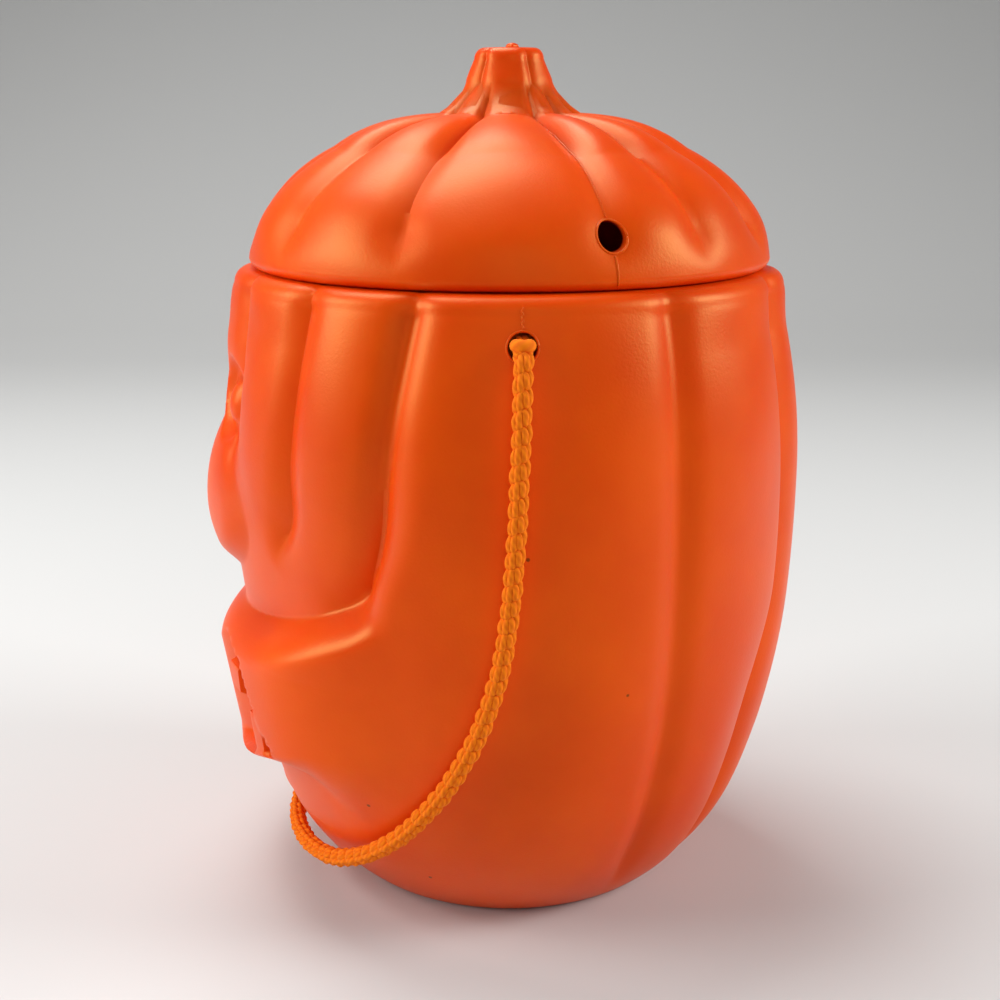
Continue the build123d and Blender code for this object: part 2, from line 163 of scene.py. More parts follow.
def knit(name, line, radius, yarn, pitch, loop):
    """Wales of knit loops wound round a line, with a plain core that closes the gaps.

    The radius is the cord's and the yarn is the yarn's own; the pitch is the length of a round of
    stitches, and the loop is half of how far the yarn goes to and fro.
    """
    reach = np.concatenate([[0.0], np.cumsum(np.linalg.norm(np.diff(line, axis=0), axis=1))])
    length = reach[-1]
    even = np.linspace(0.0, length, max(8, int(length / line_step)))
    middle = np.stack([np.interp(even, reach, line[:, i]) for i in range(3)], axis=1)
    ahead, across, over = carried_frame(middle, (0.0, 1.0, 0.0))
    stitches = max(wales, round(wales * (length - loop) / pitch))
    phase = np.linspace(0.0, 2 * math.pi * stitches, stitch_points * stitches + 1)
    place = phase / (2 * math.pi) * pitch / wales + loop * np.cos(phase)
    place = np.clip(place + loop * 0.4, 0.0, length)
    angle = (phase + 0.6 * np.sin(2 * phase) - math.pi) / wales
    wander = 0.00008 * np.sin(2.71 * phase / 7 + 0.4) + 0.00005 * np.sin(phase / 3.3)
    out = radius - yarn - stitch_dive - stitch_dive * np.cos(2 * phase) + wander
    loops = np.stack([np.interp(place, even, middle[:, i]) for i in range(3)], axis=1)
    for weight, direction in ((np.cos(angle), across), (np.sin(angle), over)):
        along = np.stack([np.interp(place, even, direction[:, i]) for i in range(3)], axis=1)
        loops += (weight * out)[:, None] * along
    strand = tube_mesh(name, loops, yarn, yarn_sides)
    core = tube_mesh(name + "_core", middle[::3], core_share * radius, core_sides)
    bpy.ops.object.select_all(action="DESELECT")
    core.select_set(True)
    strand.select_set(True)
    bpy.context.view_layer.objects.active = strand
    bpy.ops.object.join()
    bpy.ops.object.shade_smooth()
    print(name, stitches, "stitches,", len(strand.data.polygons), "faces")
    return strand


handle_yarn = knit("handle_yarn", cord_line, radius=0.0026, yarn=0.0009, pitch=0.0041, loop=0.0017)

# %% [markdown]
# At each hole the first stitch is pulled larger than the rest: a thick bow of yarn that lies across the
# cord where it comes out. It is joined to the handle.

# %% Add the first stitches
bow_turns = np.linspace(-1.9, 1.9, 25)
bow_start = 0.0786
bow_height = 0.1619
bow_radius = 0.00155
bow_sides = 14
bpy.ops.object.select_all(action="DESELECT")
for side in (1.0, -1.0):
    bow = np.stack([side * (bow_start + 0.0022 * np.cos(bow_turns)), 0.0016 * np.sin(bow_turns),
                    bow_height + 0.0002 * np.cos(bow_turns)], axis=1)
    first_stitch = tube_mesh("first_stitch", bow, bow_radius, bow_sides)
    bpy.context.view_layer.objects.active = first_stitch
    first_stitch.select_set(True)
bpy.ops.object.shade_smooth()
handle_yarn.select_set(True)
bpy.context.view_layer.objects.active = handle_yarn
bpy.ops.object.join()
print("handle with its first stitches", len(handle_yarn.data.polygons), "faces")

# %% [markdown]
# ## The knots
# Inside the pail each end of the cord is tied in an overhand knot that can't be pulled through its
# hole. The knot's line is drawn round itself and out through its own loop, and the same
# knitting is wound along it a little tighter.

# %% Tie a knot inside each hole
hole_height = 0.1612       # of the cord's holes through the pail
knot_start = 0.0735        # inside of the wall, from the pail's axis
knot_guide = [             # millimetres inwards, sideways and up from the hole
    (0.0, 0.0, 0.0), (1.6, 0.0, 0.0), (3.4, 2.2, 0.6), (5.6, 3.6, -1.0), (7.6, 1.4, -3.2),
    (6.8, -2.0, -3.2), (4.4, -3.6, -0.4), (3.4, -1.6, 3.0), (5.6, 1.8, 3.5), (8.0, 2.4, 1.2),
    (9.2, 0.6, -0.4), (11.0, 0.0, -0.6), (14.0, 0.1, -0.9), (17.0, 0.2, -1.4), (19.6, 0.1, -2.0),
]
knot_yarns = []
for name, side in (("right_knot_yarn", 1), ("left_knot_yarn", -1)):
    guide = [(side * (knot_start - 0.001 * x), side * 0.001 * y, hole_height + 0.001 * z)
             for x, y, z in knot_guide]
    knot_line = line_through(name, guide)
    knot_yarns.append(knit(name, knot_line, radius=0.0022, yarn=0.00078, pitch=0.0037, loop=0.0016))

# %% [markdown]
# ## The pail's form
# A blown pail takes its whole shape from the mould, so one sheet of faces is enough: it starts
# under the base, runs up the outside, over the ledge and the neck, and down the inside to the
# floor. Ribs, cheeks, jaw, mouth and nose are all depths of the same mould and are written as
# heights above the plain pumpkin, in millimetres, at a turn from the middle of the face.

# %% Describe the mould
belly_radius = 81.7
belly_height = 118.0
belly_drop = 129.7         # the belly would close this far below its widest height
belly_lift = 124.0         # and this far above it
belly_power = 2.55         # roundness below: 2 is an ellipse, more is squarer
pail_height = 172.6        # of the ledge that the lid sits on
shoulder_height = 168.6    # where the side turns in to the ledge
shoulder_round = 4.0
neck_outer = 65.2
neck_inner = 63.2
neck_top = 179.6
wall = 2.2
thin_wall = 2.0            # the least wall beside a step in the face
grooves = (19.0, 43.0, 65.3, 119.5, 157.0, 180.0)  # degrees from the middle of the face
groove_depth = 4.2
groove_reach = 5.8         # degrees from a groove's line to the top of its steep side
rib_crown = 0.9            # how far a rib stands out past the plain pumpkin
smile_height = 76.7        # the jaw's upper edge in the middle of the face
smile_rise = 19.2          # how far it has climbed at the reach
smile_reach = 64.0
smile_end = 70.0           # it climbs no further from here
smile_power = 2.6
shelf_start = 3.8          # the cheek begins this far above the edge
shelf_width = 13.0         # and the shelf below it is this deep
shelf_corner = 4.0         # blend between the shelf and its upright end
shelf_slope = 1.42         # millimetres in a degree, at the shelf's end
lip_height = 38.5          # the jaw's lower edge in the middle
lip_rise = 15.0
lip_reach = 47.0
lip_power = 1.6
nose_height = 108.5
nose_rise = 5.8
brow_rise = 2.2
chin_rise = 2.6
eye_depth = 3.0
pupil_rise = 2.4
eye_place = 17.0           # millimetres along the pail from the middle of the face


def ease(share):
    """From 0 to 1 without a corner at either end."""
    share = np.clip(share, 0.0, 1.0)
    return share * share * (3.0 - 2.0 * share)


def swell(*shares, power=1.0):
    """A round swelling: 1 in its middle and 0 at its edge."""
    return np.clip(1.0 - sum(s * s for s in shares), 0.0, 1.0) ** power


def plain_radius(height):
    """The pumpkin without ribs or face."""
    drop = np.clip((belly_height - height) / belly_drop, 0.0, 1.0)
    lift = np.clip((height - belly_height) / belly_lift, 0.0, 1.0)
    low = (1.0 - drop ** belly_power) ** (1 / belly_power)
    return belly_radius * np.where(height < belly_height, low, np.sqrt(1.0 - lift ** 2))


def smile_line(away):
    """Height of the jaw's upper edge."""
    return smile_height + smile_rise * (np.minimum(away, smile_end) / smile_reach) ** smile_power


def past_smile(turn, height):
    """0 on the jaw and the side, 1 on the cheek: a round outer edge and a crisp inner corner."""
    above = height - smile_line(np.abs(turn)) - shelf_start
    before = shelf_slope * (grooves[2] - np.abs(turn - lean(turn, height)))
    blend = np.clip(shelf_corner - np.abs(above - before), 0.0, shelf_corner) ** 2 / (4.0 * shelf_corner)
    share = np.clip((np.minimum(above, before) - blend + shelf_width) / shelf_width, 0.0, 1.0)
    return 1.0 - (1.0 - share ** 2.4) ** 1.35


def lip_line(away):
    """Height of the jaw's lower edge."""
    return lip_height + lip_rise * (np.minimum(away, lip_reach) / lip_reach) ** lip_power


def groove_sink(turn, turns, reach):
    """1 on a groove's line: its steep sides, and the bow of the whole rib between two grooves."""
    turns = np.array(sorted({t % 360.0 for t in turns} | {-t % 360.0 for t in turns}))
    before = ((turn[..., None] - turns) % 360.0).min(axis=-1)
    after = ((turns - turn[..., None]) % 360.0).min(axis=-1)
    steep = np.clip(1.0 - np.minimum(before, after) / reach, 0.0, 1.0) ** 1.6
    bow = (2.0 * before / np.maximum(before + after, 0.001) - 1.0) ** 2
    return 0.6 * np.where(before + after < 0.001, 1.0, bow) + 0.4 * steep


def lean(turn, height):
    """Degrees that the face's grooves have moved back from the face at a height."""
    away = np.abs(turn)
    across = ease((away - 20.0) / 20.0) * ease((100.0 - away) / 25.0)
    level = 98.0 + 3.0 * np.logaddexp(0.0, (height - 98.0) / 3.0)
    rate = 0.07 + 0.046 * ease((away - 46.0) / 16.0)
    bend = 0.02 * (1.0 - 0.68 * ease((away - 46.0) / 16.0))
    front = across * (rate * (level - 128.0) - bend * np.maximum(120.0 - level, 0.0) ** 2)
    back = 9.0 * ease((92.0 - height) / 40.0) * ease((away - 125.0) / 25.0) * ease((180.0 - away) / 20.0)
    return np.sign(turn) * (front - back)


def rib_relief(turn, height):
    """Round ribs with narrow grooves; on the face's side the grooves lean forward as they go down."""
    away = np.abs(turn)
    leaning = turn - lean(turn, height)
    fade = ease((pail_height + 0.5 - height) / 6.5) * ease(height / 24.0)
    sunk = groove_depth * groove_sink(leaning, grooves, groove_reach)
    run_out = ease((height - belly_height + 1.24 * (away - grooves[0])) / 20.0)
    sunk = np.where(away < 93.0, sunk * run_out * past_smile(turn, height), sunk)
    return fade * (rib_crown - sunk)


def grin_inset(turn, height):
    """How far inside the outline of the open mouth a place lies, in millimetres."""
    across = np.abs(82.0 * np.sin(np.radians(turn)))
    front = np.abs(turn) < 80.0
    from_top = 75.0 - 3.0 * (across / 44.0) ** 2 - height
    from_bottom = (height - 39.5 - 9.5 * (across / 52.0) ** 2) * 0.8
    from_end = (40.4 + 0.513 * (72.0 - height) - across) * 0.89
    return np.where(front, np.minimum(np.minimum(from_top, from_bottom), from_end), -9.0)


def tooth_inset(turn, height):
    """The same for the two teeth on each side that stand in the mouth."""
    along = np.radians(np.abs(turn)) * 84.0
    upper = np.minimum(6.4 - np.abs(along - 36.0), 5.2 - np.abs(height - 65.4))
    lower = np.minimum(5.4 - np.abs(along - 49.1), 60.5 - height)
    return np.maximum(upper, lower)


def pail_surface(turn, height):
    """Radius of the outside of the pail at a turn from the middle of the face and a height."""
    away = np.abs(turn)
    along = np.radians(away) * belly_radius
    nose_half = np.where(height > nose_height, 24.0, 19.0)
    nose = swell(along / 38.0, (height - nose_height) / nose_half, power=1.1)
    brow = swell(along / 42.0, (height - 158.0) / 14.0, power=1.5)
    chin = swell(along / 20.0, (height - 22.5) / 8.0, power=1.5)
    fade = ease((pail_height - height) / 16.0) * ease(height / 30.0)
    slow_fade = ease((pail_height - height) / 16.0) * ease(height / 46.0)
    flat = (3.2 * ease(1.0 - away / 66.0) + 2.0 * ease((away - 105.0) / 45.0)) * slow_fade
    hollow = 2.4 + 4.6 * ease(away / 40.0)
    past = past_smile(turn, height)
    cheek = hollow * past * ease(1.0 - (height - smile_line(away)) / 48.0)
    softer = ease((away - 34.0) / 24.0)
    undercut = 4.6 + 17.4 * softer
    rise = 5.8 + (2.6 + ease((away - 12.0) / 22.0)) * np.clip((74.5 - height) / 38.5, 0.0, 1.0)
    jaw = rise * ease((70.0 - away) / 30.0) * (1.0 - past)
    jaw = jaw * ease((height - lip_line(away) + undercut) / undercut)
    radius = plain_radius(height) + rib_relief(turn, height) + jaw - flat
    radius = radius + nose_rise * nose + brow_rise * brow + chin_rise * chin
    radius = radius - cheek * (1.0 - ease(2.0 * nose))
    floor = 78.2 + 0.175 * (height - 42.0) - 5.5 * ease((away - 6.0) / 15.0)
    mouth = ease(grin_inset(turn, height) / 2.2) * np.maximum(radius - floor, 0.0)
    mouth = mouth * (1.0 - 0.92 * ease(tooth_inset(turn, height) / 2.0))
    eye_along = along - eye_place
    eye = ease(2.2 * swell(eye_along / 11.0, (height - 138.5 + 0.2 * eye_along) / 11.5))
    pupil = swell(eye_along / 5.4, (height - 137.5) / 6.0, power=0.7)
    waver = 0.16 * np.sin(np.radians(5 * turn) + height / 17.0)
    waver = waver + 0.12 * np.sin(np.radians(11 * turn) - height / 11.0)
    return radius - mouth - eye_depth * eye + pupil_rise * pupil + waver * fade


print("belly at the side", pail_surface(np.array([93.0]), np.array([belly_height])), "mm")

# %% [markdown]
# A flat grid is rolled up into the sheet, row by row along the pail's section. Its columns are closer
# together at the face, where the detail is, and follow the lean of the grooves.

# %% Mould the pail


def shaped_grid(name, columns, rows, shape):
    """A grid of faces rolled up into a closed form.

    The shape gives the turn, radius and height (mm) of a place.
    """
    bpy.ops.object.select_all(action="DESELECT")
    bpy.ops.mesh.primitive_grid_add(x_subdivisions=columns, y_subdivisions=rows, size=2.0)
    piece = bpy.context.object
    piece.name = name
    flat = np.empty(3 * len(piece.data.vertices))
    piece.data.vertices.foreach_get("co", flat)
    flat = flat.reshape(-1, 3)
    share = (flat[:, 0] + 1.0) / 2.0
    turn = -180.0 + 360.0 * (share + 0.33 * np.sin(2 * math.pi * share) / (2 * math.pi))
    row = np.rint((flat[:, 1] + 1.0) / 2.0 * rows).astype(int)
    turn, radius, height = shape(turn, row)
    angle = np.radians(turn)
    places = np.stack([radius * np.sin(angle), -radius * np.cos(angle), height], axis=1) * 0.001
    piece.data.vertices.foreach_set("co", places.ravel())
    piece.data.update()
    bpy.ops.object.mode_set(mode="EDIT")
    bpy.ops.mesh.select_all(action="SELECT")
    bpy.ops.mesh.remove_doubles(threshold=0.00002)
    bpy.ops.mesh.dissolve_degenerate(threshold=0.00001)
    bpy.ops.mesh.normals_make_consistent(inside=False)
    bpy.ops.object.mode_set(mode="OBJECT")
    return piece


def cut_holes(piece, radius, places):
    """Bore round holes through a moulding along the given middle lines (point, direction)."""
    for point, direction in places:
        bpy.ops.mesh.primitive_cylinder_add(vertices=40, radius=radius, depth=0.26, location=point)
        drill = bpy.context.object
        drill.rotation_euler = Vector(direction).to_track_quat("Z", "Y").to_euler()
        cut = piece.modifiers.new("hole", "BOOLEAN")
        cut.object = drill
        cut.operation = "DIFFERENCE"
        cut.solver = "EXACT"
        bpy.ops.object.select_all(action="DESELECT")
        piece.select_set(True)
        bpy.context.view_layer.objects.active = piece
        bpy.ops.object.modifier_apply(modifier=cut.name)
        bpy.data.objects.remove(drill)


def pail_profile():
    """Rows of the pail from under the base to the floor inside: kind of row, height and radius."""
    rim = float(plain_radius(np.array([0.0]))[0])
    rows = [("set", 2.6 * (1.0 - (r / (rim - 8.0)) ** 2), r) for r in np.linspace(0.0, rim - 8.0, 12)]
    rows += [("set", 0.0, r) for r in (rim - 7.4, rim - 4.0, rim - 1.4)]
    rows += [("edge", h, d) for h, d in ((0.12, 0.8), (0.5, 0.3))]
    bands = ((1.2, 40.0, 34), (40.0, 66.0, 37), (66.0, 102.0, 64))
    heights = [np.linspace(*band)[:-1] for band in bands] + [np.linspace(102.0, shoulder_height, 84)]
    rows += [("side", h, 0.0) for h in np.concatenate(heights)]
    rows += [("edge", shoulder_height + shoulder_round * math.sin(a),
              shoulder_round - shoulder_round * math.cos(a)) for a in np.linspace(0.2, 1.5708, 7)]
    rows += [("set", pail_height, r) for r in (neck_outer + 3.0, neck_outer + 0.9)]
    rows += [("set", h, neck_outer + d) for h, d in ((172.85, 0.3), (173.5, 0.0), (176.0, 0.0), (178.9, 0.0))]
    rows += [("set", 179.45, neck_outer - 0.3), ("set", neck_top, neck_outer - 0.8)]
    rows += [("set", neck_top, neck_inner + 0.6), ("set", 179.4, neck_inner + 0.15)]
    rows += [("set", 178.8, neck_inner), ("set", 171.0, neck_inner)]
    rows += [("in", 170.4 - 5.0 * (1.0 - math.sin(a)), math.cos(a)) for a in np.linspace(1.45, 0.0, 6)]
    rows += [("in", h, 1.0) for h in np.linspace(163.0, 9.0, 26)]
    rows += [("floor", 5.2, 0.94), ("floor", 4.9, 0.8), ("floor", 4.9, 0.4), ("floor", 4.9, 0.0)]
    return rows


profile = pail_profile()


def pail_shape(turn, row):
    """Turn, radius and height of every point of the pail's sheet, its columns along the grooves."""
    kinds = np.array([r[0] for r in profile])[row]
    height = np.array([r[1] for r in profile])[row]
    turn = turn + np.where((kinds == "side") | (kinds == "edge"), lean(turn, height), 0.0)
    value = np.array([r[2] for r in profile])[row]
    outside = pail_surface(turn, np.minimum(height, shoulder_height))
    radius = np.where(kinds == "set", value, outside - value)
    radius = np.where(kinds == "side", outside, radius)
    below, above = (pail_surface(turn, height + step) - thin_wall for step in (-3.0, 3.0))
    sunk = np.minimum(np.minimum(outside - wall, below), above)
    radius = np.where(kinds == "in", neck_inner + (sunk - neck_inner) * value, radius)
    low = pail_surface(turn, np.full_like(height, 9.0)) - wall
    return turn, np.where(kinds == "floor", low * value, radius), height


pail_moulding = shaped_grid("pail_moulding", 336, len(profile) - 1, pail_shape)
cut_holes(pail_moulding, 0.0035, [((0.0, 0.0, hole_height), (1.0, 0.0, 0.0))])
print("pail", len(pail_moulding.data.polygons), "faces")

# %% [markdown]
# ## The lid
# The lid is the top of the pumpkin: a ribbed dome with a short stem, blown in one and cut open
# below. It has been put on with its ribs out of line with the pail's, so its own hole is seen a
# little to the right of the cord's. The sheet runs from the stem's top down the outside, round the
# rolled edge and up the inside.

# %% Mould the lid
lid_grooves = (14.0, 46.0, 90.0, 113.0, 138.0, 160.0, 180.0)
stem_flutes = (24.0, 100.0, 160.0)
lid_turn = 19.0            # degrees that the lid has been put on out of line with the pail
lid_base = 172.9
lid_radius = 71.0
lid_rise = 41.0            # of the dome, if the stem were not there
lid_power = 2.1            # roundness of the dome: 2 is an ellipse
lid_roll = 3.0             # radius of the rolled edge
lid_wall = 2.0
lid_groove_depth = 3.0
lid_groove_reach = 7.4     # degrees
lid_hole_height = 0.1853
stem_top = 230.0
stem_shoulder = 222.0      # the stem flares out below this height
stem_foot = 19.0           # radius at which it meets the dome
flute_depth = 1.1
flute_reach = 14.0         # degrees


def upright_row(radius, height, flute=0.0, rib=0.0):
    """A row whose ribs and flutes go straight in towards the axis."""
    return radius, height, 1.0, 0.0, rib, flute, 0.0


def lid_profile():
    """Rows of the lid from the stem's top outside to the stem's top inside.

    A row has its radius and height, the way out of the surface (outward and upward), the shares of
    the ribs and of the stem's flutes, and how far it is set in.
    """
    rows = [(r, stem_top, 0.0, 1.0, 0.0, 0.0, 0.0) for r in (0.0, 2.4, 4.8, 6.2)]
    for a in (0.2, 0.5, 0.8, 1.1, 1.4):
        rows.append(upright_row(6.8 + 2.8 * math.sin(a), 227.2 + 2.8 * math.cos(a), math.sin(a)))
    rows += [upright_row(9.6 + 2.0 * s, 227.0 - 5.0 * s, 1.0) for s in np.linspace(0.0, 1.0, 6)]
    start = math.asin((lid_roll / lid_rise) ** (lid_power / 2))
    end = math.acos((stem_foot / lid_radius) ** (lid_power / 2))
    foot_height = lid_base + lid_rise * math.sin(end) ** (2 / lid_power)
    for share in np.linspace(0.92, 0.06, 14):
        radius = 11.6 + 7.4 * (1.0 - share) ** 1.6
        height = foot_height + (stem_shoulder - foot_height) * share
        rows.append(upright_row(radius, height, ease(share), (1.0 - share) ** 2))
    outside = []
    for slope in np.linspace(end, start, 96):
        lift = lid_rise * math.sin(slope) ** (2 / lid_power)
        radius = lid_radius * math.cos(slope) ** (2 / lid_power)
        fade = float(ease((lift - lid_roll) / 12.0)) * min(1.0, radius / 42.6)
        outside.append((radius, lid_base + lift, math.cos(slope), math.sin(slope), fade, 0.0, 0.0))
    rows += outside
    for a in np.linspace(0.2, 1.5, 7):
        radius = lid_radius - lid_roll * (1.0 - math.cos(a))
        rows.append(upright_row(radius, lid_base + lid_roll - lid_roll * math.sin(a)))
    rows += [upright_row(66.6, lid_base), upright_row(66.05, lid_base + 0.4)]
    rows += [upright_row(66.0, lid_base + h) for h in (1.0, 2.0)]
    rows += [row[:6] + (lid_wall,) for row in outside[::-3] if row[4] > 0.02]
    rows += [upright_row(9.6, stem_shoulder), upright_row(9.0, 226.2), upright_row(0.0, 226.6)]
    return rows


lid_rows = np.array(lid_profile())


def lid_shape(turn, row):
    """Turn, radius and height of every point of the lid's sheet."""
    radius, height, outward, upward, rib, flute, inset = lid_rows[row].T
    own_turn = (turn - lid_turn + 180.0) % 360.0 - 180.0
    sink = groove_sink(own_turn, lid_grooves, lid_groove_reach)
    dent = groove_sink(own_turn, stem_flutes, flute_reach)
    out = rib * (0.2 - lid_groove_depth * sink) - flute * flute_depth * dent - inset
    waver = 0.14 * np.sin(np.radians(7 * turn) + height / 5.0)
    waver = waver + 0.1 * np.sin(np.radians(4 * turn) - height / 3.0)
    out = out + waver * np.minimum(1.0, rib + flute)
    out = out + 1.8 * rib * (1.0 - 1.6 * sink) * swell((radius - 31.0) / 17.0)
    return turn, radius + out * outward, height + out * upward


lid_moulding = shaped_grid("lid_moulding", 288, len(lid_rows) - 1, lid_shape)
lid_spin = math.radians(lid_turn)
lid_axis = (math.cos(lid_spin), math.sin(lid_spin), 0.0)
cut_holes(lid_moulding, 0.0036, [((0.0, 0.0, lid_hole_height), lid_axis)])
print("lid", len(lid_moulding.data.polygons), "faces")

# %% [markdown]
# ## Flash and hole rims
# Where the two halves of the mould met, a thin line of plastic is left: up the lid to its hole and
# on down to the edge, and from the pail's ledge down to the cord's hole. The punched holes have a
# thin raised rim, and a crumb of flash stands on the stem. All follow the moulded surface, so their
# points are found by looking straight at it from outside.

# %% Add the flash and the rims


def seen_on(piece, starts, direction):
    """Where straight looks from the starting points first meet a moulding."""
    places = []
    for start in starts:
        hit, place, _, _ = piece.ray_cast(Vector(start), Vector(direction))
        if hit:
            places.append(place[:])
    return np.array(places)


def bead(name, piece, starts, direction, radius):
    """A thin bead of plastic along the places that the looks meet, half sunk in the moulding."""
    line = seen_on(piece, starts, direction)
    strip = tube_mesh(name, line, radius, 8)
    bpy.ops.object.select_all(action="DESELECT")
    strip.select_set(True)
    bpy.context.view_layer.objects.active = strip
    bpy.ops.object.shade_smooth()
    print(name, len(line), "points")
    return strip


def round_hole(middle, across, radius):
    """Starting points in a circle outside a hole."""
    turns = np.linspace(0.0, 2 * math.pi, 41)
    return [(middle[0] + across[0] * radius * math.cos(a), middle[1] + across[1] * radius * math.cos(a),
             middle[2] + radius * math.sin(a)) for a in turns]


far_out = 0.12             # well outside the pail, where the looks start
details = {"pail": [], "lid": []}
for name, sign in (("right", 1.0), ("left", -1.0)):
    look = (-sign, 0.0, 0.0)
    circle = round_hole((sign * far_out, 0.0, hole_height), (0.0, 1.0), 0.00375)
    rim = bead("pail_rim_" + name, pail_moulding, circle, look, 0.0003)
    line = [(sign * far_out, 0.0002 * math.sin(0.9 * i), 0.1655 + 0.0002 * i) for i in range(25)]
    seam = bead("pail_flash_" + name, pail_moulding, line, look, 0.00022)
    details["pail"] += [rim, seam]
    out = (sign * far_out * lid_axis[0], sign * far_out * lid_axis[1])
    look = (-sign * lid_axis[0], -sign * lid_axis[1], 0.0)
    circle = round_hole((*out, lid_hole_height), (-lid_axis[1], lid_axis[0]), 0.00385)
    rim = bead("lid_rim_" + name, lid_moulding, circle, look, 0.00032)
    line = [(out[0], out[1], 0.1896 + 0.0004 * i) for i in range(48)]
    seam = bead("lid_flash_" + name, lid_moulding, line, look, 0.00025)
    line = [(out[0], out[1], 0.1741 + 0.0004 * i) for i in range(18)]
    edge = bead("lid_edge_flash_" + name, lid_moulding, line, look, 0.00028)
    details["lid"] += [rim, seam, edge]
bpy.ops.object.select_all(action="DESELECT")
bpy.ops.mesh.primitive_ico_sphere_add(subdivisions=3, radius=0.0011, location=(0.0028, 0.0006, 0.2301))
crumb = bpy.context.object
crumb.name = "stem_flash"
for vertex in crumb.data.vertices:
    vertex.co.x *= 1.6 + 300.0 * vertex.co.z
    vertex.co.y *= 1.2 + 0.5 * math.sin(3000.0 * vertex.co.x)
bpy.ops.object.transform_apply(location=True, rotation=False, scale=False)
bpy.ops.object.shade_smooth()
details["lid"].append(crumb)

# %% [markdown]
# The mouldings are shaded smooth, apart from their real edges: the ledge, the neck and the holes.

# %% Smooth the two mouldings
for moulding in (pail_moulding, lid_moulding):
    bpy.ops.object.select_all(action="DESELECT")
    moulding.select_set(True)
    bpy.context.view_layer.objects.active = moulding
    bpy.ops.object.shade_smooth_by_angle(angle=math.radians(40.0))

# %% [markdown]
# ## Orange plastic
# The plastic is coloured through, so there is no paint: a satin orange with a fine grain from the
# mould, slight clouds where the wall is thicker, and a few dark specks.

# %% Make the orange plastic


def new_material(name):
    """A new procedural material with its nodes, its links and its shader."""
    material = bpy.data.materials.new(name)
    material.use_nodes = True
    nodes = material.node_tree.nodes
    shader = nodes["Principled BSDF"]
    return material, nodes, material.node_tree.links, shader


plastic, nodes, links, shader = new_material("orange_plastic_look")
where = nodes.new("ShaderNodeTexCoord")
clouds = nodes.new("ShaderNodeTexNoise")
clouds.inputs["Scale"].default_value = 28.0
clouds.inputs["Detail"].default_value = 3.0
links.new(where.outputs["Object"], clouds.inputs["Vector"])
tint = nodes.new("ShaderNodeValToRGB")
tint.color_ramp.elements[0].position = 0.35
tint.color_ramp.elements[0].color = (0.74, 0.050, 0.0, 1.0)
tint.color_ramp.elements[1].position = 0.68
tint.color_ramp.elements[1].color = (0.83, 0.074, 0.0, 1.0)
links.new(clouds.outputs["Fac"], tint.inputs["Fac"])
dots = nodes.new("ShaderNodeTexVoronoi")
dots.inputs["Scale"].default_value = 50.0
links.new(where.outputs["Object"], dots.inputs["Vector"])
speck = nodes.new("ShaderNodeMapRange")
speck.inputs["From Min"].default_value = 0.03
speck.inputs["From Max"].default_value = 0.018
links.new(dots.outputs["Distance"], speck.inputs["Value"])
specked = nodes.new("ShaderNodeMix")
specked.data_type = "RGBA"
specked.inputs["B"].default_value = (0.2, 0.02, 0.0, 1.0)
links.new(speck.outputs["Result"], specked.inputs["Factor"])
links.new(tint.outputs["Color"], specked.inputs["A"])
links.new(specked.outputs["Result"], shader.inputs["Base Color"])
grain = nodes.new("ShaderNodeTexNoise")
grain.inputs["Scale"].default_value = 1500.0
grain.inputs["Detail"].default_value = 2.0
links.new(where.outputs["Object"], grain.inputs["Vector"])
bump = nodes.new("ShaderNodeBump")
bump.inputs["Strength"].default_value = 0.22
bump.inputs["Distance"].default_value = 0.0002
links.new(grain.outputs["Fac"], bump.inputs["Height"])
links.new(bump.outputs["Normal"], shader.inputs["Normal"])
gloss = nodes.new("ShaderNodeMapRange")
gloss.inputs["To Min"].default_value = 0.34
gloss.inputs["To Max"].default_value = 0.46
links.new(clouds.outputs["Fac"], gloss.inputs["Value"])
links.new(gloss.outputs["Result"], shader.inputs["Roughness"])
shader.inputs["Specular IOR Level"].default_value = 0.55
shader.inputs["Specular Tint"].default_value = (1.0, 0.75, 0.16, 1.0)
shader.inputs["Subsurface Weight"].default_value = 0.3
shader.inputs["Subsurface Radius"].default_value = (1.0, 0.12, 0.01)
shader.inputs["Subsurface Scale"].default_value = 0.005
for moulding in [pail_moulding, lid_moulding] + details["pail"] + details["lid"]:
    moulding.data.materials.clear()
    moulding.data.materials.append(plastic)

# %% [markdown]
# ## Orange yarn
# The yarn is a soft acrylic, twisted from three plies and a little lighter than the plastic. The
# plies show as slanting stripes along each loop: bumps, with painted shade darkening the colour in the
# grooves between them.

# %% Make the orange yarn
wool, nodes, links, shader = new_material("knitted_cord_look")
where = nodes.new("ShaderNodeTexCoord")
parts = nodes.new("ShaderNodeSeparateXYZ")
links.new(where.outputs["UV"], parts.inputs["Vector"])
slant = nodes.new("ShaderNodeMath")
slant.operation = "MULTIPLY_ADD"
slant.inputs[1].default_value = 0.55
links.new(parts.outputs["X"], slant.inputs[0])
plies = nodes.new("ShaderNodeMath")
plies.operation = "MULTIPLY"
plies.inputs[1].default_value = 3.0
links.new(parts.outputs["Y"], plies.inputs[0])
links.new(plies.outputs["Value"], slant.inputs[2])
turns = nodes.new("ShaderNodeMath")
turns.operation = "MULTIPLY"
turns.inputs[1].default_value = 6.2832
links.new(slant.outputs["Value"], turns.inputs[0])
stripe = nodes.new("ShaderNodeMath")
stripe.operation = "SINE"
links.new(turns.outputs["Value"], stripe.inputs[0])
shade = nodes.new("ShaderNodeMapRange")
shade.inputs["From Min"].default_value = -1.0
links.new(stripe.outputs["Value"], shade.inputs["Value"])
# the colour follows the ply wave: its darker end is painted shade in the grooves between the plies, its
# lighter end the yarn's own orange
tint = nodes.new("ShaderNodeValToRGB")
tint.color_ramp.elements[0].color = (0.80, 0.145, 0.0, 1.0)
tint.color_ramp.elements[1].color = (0.92, 0.205, 0.0, 1.0)
links.new(shade.outputs["Result"], tint.inputs["Fac"])
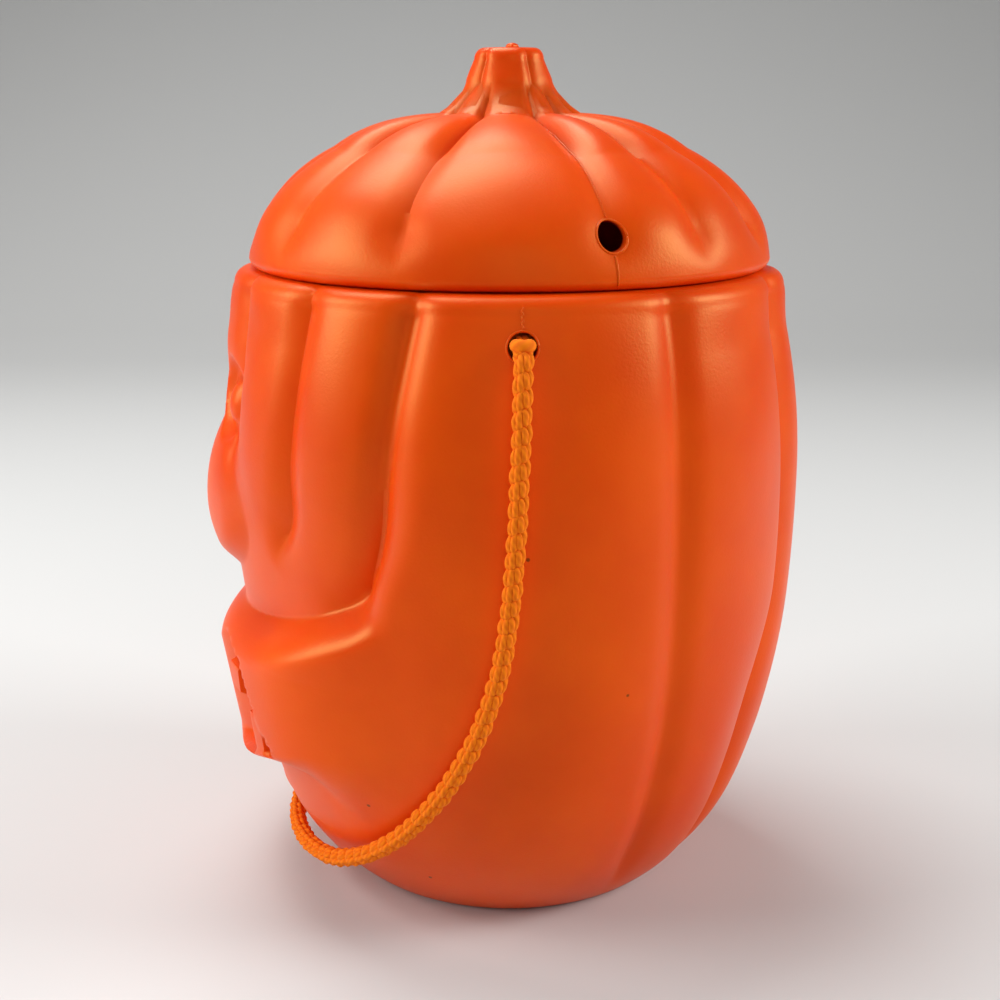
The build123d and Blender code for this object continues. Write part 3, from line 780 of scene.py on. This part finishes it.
links.new(tint.outputs["Color"], shader.inputs["Base Color"])
bump = nodes.new("ShaderNodeBump")
bump.inputs["Strength"].default_value = 0.25
bump.inputs["Distance"].default_value = 0.0002
links.new(shade.outputs["Result"], bump.inputs["Height"])
links.new(bump.outputs["Normal"], shader.inputs["Normal"])
shader.inputs["Roughness"].default_value = 0.85
shader.inputs["Specular IOR Level"].default_value = 0.2
shader.inputs["Sheen Weight"].default_value = 0.15
shader.inputs["Sheen Tint"].default_value = (1.0, 0.6, 0.1, 1.0)
for yarn in [handle_yarn] + knot_yarns:
    yarn.data.materials.clear()
    yarn.data.materials.append(wool)

# %% [markdown]
# ## Studio
# A plain pale floor and four soft lamps: one on each side, which leave the middle of the pail a
# little darker and show the ribs, one overhead for the lid, and a weak one near the camera.

# %% Light it
bpy.ops.object.select_all(action="DESELECT")
bpy.ops.mesh.primitive_grid_add(x_subdivisions=60, y_subdivisions=2, size=6.0, location=(0.0, 0.0, 0.0))
floor = bpy.context.object
floor.name = "studio_floor"
floor_end = -0.9           # behind the pail the floor curves up into a backdrop from here
for vertex in floor.data.vertices:
    vertex.co.z = 0.9 * max(0.0, floor_end - vertex.co.x) ** 2
bpy.ops.object.shade_smooth()
paper, nodes, links, shader = new_material("pale_paper")
shader.inputs["Base Color"].default_value = (0.62, 0.62, 0.61, 1.0)
shader.inputs["Roughness"].default_value = 0.9
floor.data.materials.append(paper)
pail_middle = Vector((0.0, 0.0, 0.11))


def soft_lamp(name, place, size, power):
    """A square soft lamp that looks at the middle of the pail."""
    lamp = bpy.data.lights.new(name, "AREA")
    lamp.size = size
    lamp.energy = power
    stand = bpy.data.objects.new(name, lamp)
    bpy.context.collection.objects.link(stand)
    stand.location = place
    stand.rotation_euler = (pail_middle - Vector(place)).to_track_quat("-Z", "Y").to_euler()


soft_lamp("left_lamp", (0.15, -1.05, 0.6), size=0.6, power=11.0)
soft_lamp("right_lamp", (0.2, 1.05, 0.6), size=0.5, power=10.0)
soft_lamp("top_lamp", (-0.35, -0.25, 1.15), size=0.7, power=11.0)
soft_lamp("front_lamp", (1.2, 0.1, 0.6), size=0.8, power=2.2)
world = bpy.context.scene.world or bpy.data.worlds.new("studio")
bpy.context.scene.world = world
world.use_nodes = True
world.node_tree.nodes["Background"].inputs["Color"].default_value = (1.0, 1.0, 1.0, 1.0)
world.node_tree.nodes["Background"].inputs["Strength"].default_value = 0.1
bpy.context.scene.view_settings.view_transform = "Standard"

# %% [markdown]
# ## What moves with what
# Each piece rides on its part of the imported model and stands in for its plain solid.

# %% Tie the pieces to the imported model
for piece, body, node, slot in (
    (pail_moulding, "pail", "pail_body", "orange_plastic"),
    (lid_moulding, "lid", "lid", "orange_plastic"),
    (handle_yarn, "handle", "handle_cord", "knitted_cord"),
    (knot_yarns[0], "handle", "right_knot", "knitted_cord"),
    (knot_yarns[1], "handle", "left_knot", "knitted_cord"),
):
    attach(piece, body)
    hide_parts(node)
for body, pieces in details.items():
    for piece in pieces:
        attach(piece, body)
